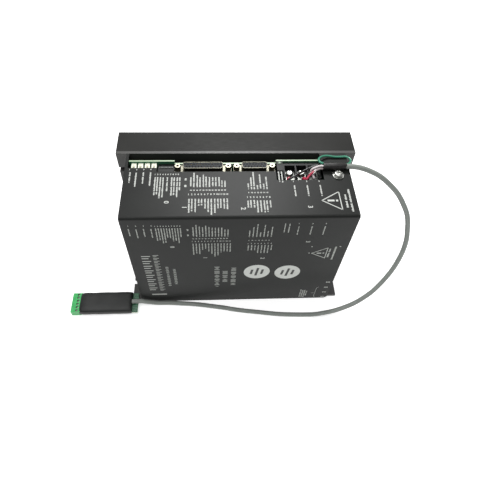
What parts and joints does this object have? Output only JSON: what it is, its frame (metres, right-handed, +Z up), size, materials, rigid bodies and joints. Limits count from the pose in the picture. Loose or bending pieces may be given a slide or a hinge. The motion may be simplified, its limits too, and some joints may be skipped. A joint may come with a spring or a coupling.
{
  "type": "servo drive module",
  "caption": "Black boxed panel-mount motor drive on an L-shaped heat-sinked chassis, connectors on top, with a grey cable to a sleeved in-line terminal adapter.",
  "frame": {"origin": "centre of the footprint of the drive without its cable, at the underside of the foot", "axes": "+X along the unit's length towards the motor terminals, +Y from the front face to the heat sink, +Z up out of the connector face"},
  "size_m": [0.3559, 0.132, 0.1607],
  "materials": {
    "chassis_plate": "black anodised, satin",
    "heat_sink": "black anodised, fine matt",
    "cover_paint": "black powder coat, fine texture",
    "zinc_steel": "bright zinc plate",
    "circuit_board": "green solder mask on glass fibre",
    "brass": "turned brass",
    "cream_plastic": "cream moulded plastic",
    "black_plastic": "moulded black plastic",
    "white_plastic": "white moulded plastic",
    "clear_lens": "clear tinted lens",
    "plated_shell": "tin plate, warm grey",
    "gold_plate": "gold plate",
    "red_insulation": "red vinyl",
    "white_insulation": "white vinyl",
    "black_insulation": "black vinyl",
    "green_insulation": "green vinyl",
    "heat_shrink": "black heat-shrink",
    "grey_jacket": "grey vinyl jacket",
    "green_plastic": "green moulded plastic",
    "capacitor_sleeve": "dark blue shrink sleeve",
    "grey_pad": "silicone pad",
    "ferrite": "ferrite core and wound bobbin",
    "blue_plastic": "blue potted case"
  },
  "bodies": {
    "root": {"chassis": "chassis_plate", "heat_sink": "heat_sink", "heat_sink_screws": "zinc_steel", "cover": "cover_paint", "cover_screw": "zinc_steel", "cover_washer": "zinc_steel", "cover_foot_screws": "zinc_steel", "main_board": "circuit_board", "board_standoffs": "brass", "board_screws": "zinc_steel", "trimmer_bodies": "cream_plastic", "switch_body": "black_plastic", "led_holder": "black_plastic", "status_led": "clear_lens", "connector_shells": "plated_shell", "connector_insulators": "black_plastic", "connector_contacts": "gold_plate", "connector_brackets": "plated_shell", "jackscrews": "plated_shell", "motor_terminal_block": "black_plastic", "motor_terminal_plates": "zinc_steel", "motor_terminal_screws": "zinc_steel", "power_terminal_block": "black_plastic", "power_terminal_plates": "zinc_steel", "power_terminal_screws": "zinc_steel", "lead_lugs": "zinc_steel", "lug_sleeves": "red_insulation", "red_lead": "red_insulation", "white_lead": "white_insulation", "black_lead": "black_insulation", "green_lead": "green_insulation", "breakout_sleeve": "heat_shrink", "cable": "grey_jacket", "adapter_board": "circuit_board", "adapter_sleeve": "heat_shrink", "adapter_terminal_block": "green_plastic", "adapter_terminal_screws": "zinc_steel", "bus_capacitors": "capacitor_sleeve", "power_transistors": "black_plastic", "insulator_pads": "grey_pad", "bridge_rectifier": "black_plastic", "supply_transformer": "ferrite", "control_chips": "black_plastic", "current_sensors": "blue_plastic"},
    "trimmer_screw_1": {"trimmer_screw_1": "brass"},
    "trimmer_screw_2": {"trimmer_screw_2": "brass"},
    "trimmer_screw_3": {"trimmer_screw_3": "brass"},
    "trimmer_screw_4": {"trimmer_screw_4": "brass"},
    "switch_slider_1": {"switch_slider_1": "white_plastic"},
    "switch_slider_2": {"switch_slider_2": "white_plastic"},
    "switch_slider_3": {"switch_slider_3": "white_plastic"},
    "switch_slider_4": {"switch_slider_4": "white_plastic"},
    "switch_slider_5": {"switch_slider_5": "white_plastic"},
    "switch_slider_6": {"switch_slider_6": "white_plastic"},
    "switch_slider_7": {"switch_slider_7": "white_plastic"},
    "switch_slider_8": {"switch_slider_8": "white_plastic"},
    "switch_slider_9": {"switch_slider_9": "white_plastic"},
    "switch_slider_10": {"switch_slider_10": "white_plastic"}
  },
  "joints": [
    {"name": "trimmer_turn_1", "type": "hinge", "parent": "root", "child": "trimmer_screw_1", "pos_m": [-0.097, 0.00965, 0.1503], "axis": [0, 0, 1], "continuous": true},
    {"name": "trimmer_turn_2", "type": "hinge", "parent": "root", "child": "trimmer_screw_2", "pos_m": [-0.0908, 0.00965, 0.1503], "axis": [0, 0, 1], "continuous": true},
    {"name": "trimmer_turn_3", "type": "hinge", "parent": "root", "child": "trimmer_screw_3", "pos_m": [-0.0846, 0.00965, 0.1503], "axis": [0, 0, 1], "continuous": true},
    {"name": "trimmer_turn_4", "type": "hinge", "parent": "root", "child": "trimmer_screw_4", "pos_m": [-0.0784, 0.00965, 0.1503], "axis": [0, 0, 1], "continuous": true},
    {"name": "slider_move_1", "type": "slide", "parent": "root", "child": "switch_slider_1", "axis": [0, -1, 0], "range_m": [0, 0.001]},
    {"name": "slider_move_2", "type": "slide", "parent": "root", "child": "switch_slider_2", "axis": [0, -1, 0], "range_m": [0, 0.001]},
    {"name": "slider_move_3", "type": "slide", "parent": "root", "child": "switch_slider_3", "axis": [0, -1, 0], "range_m": [0, 0.001]},
    {"name": "slider_move_4", "type": "slide", "parent": "root", "child": "switch_slider_4", "axis": [0, -1, 0], "range_m": [0, 0.001]},
    {"name": "slider_move_5", "type": "slide", "parent": "root", "child": "switch_slider_5", "axis": [0, -1, 0], "range_m": [0, 0.001]},
    {"name": "slider_move_6", "type": "slide", "parent": "root", "child": "switch_slider_6", "axis": [0, -1, 0], "range_m": [0, 0.001]},
    {"name": "slider_move_7", "type": "slide", "parent": "root", "child": "switch_slider_7", "axis": [0, -1, 0], "range_m": [0, 0.001]},
    {"name": "slider_move_8", "type": "slide", "parent": "root", "child": "switch_slider_8", "axis": [0, -1, 0], "range_m": [0, 0.001]},
    {"name": "slider_move_9", "type": "slide", "parent": "root", "child": "switch_slider_9", "axis": [0, -1, 0], "range_m": [0, 0.001]},
    {"name": "slider_move_10", "type": "slide", "parent": "root", "child": "switch_slider_10", "axis": [0, -1, 0], "range_m": [0, 0.001]}
  ]
}
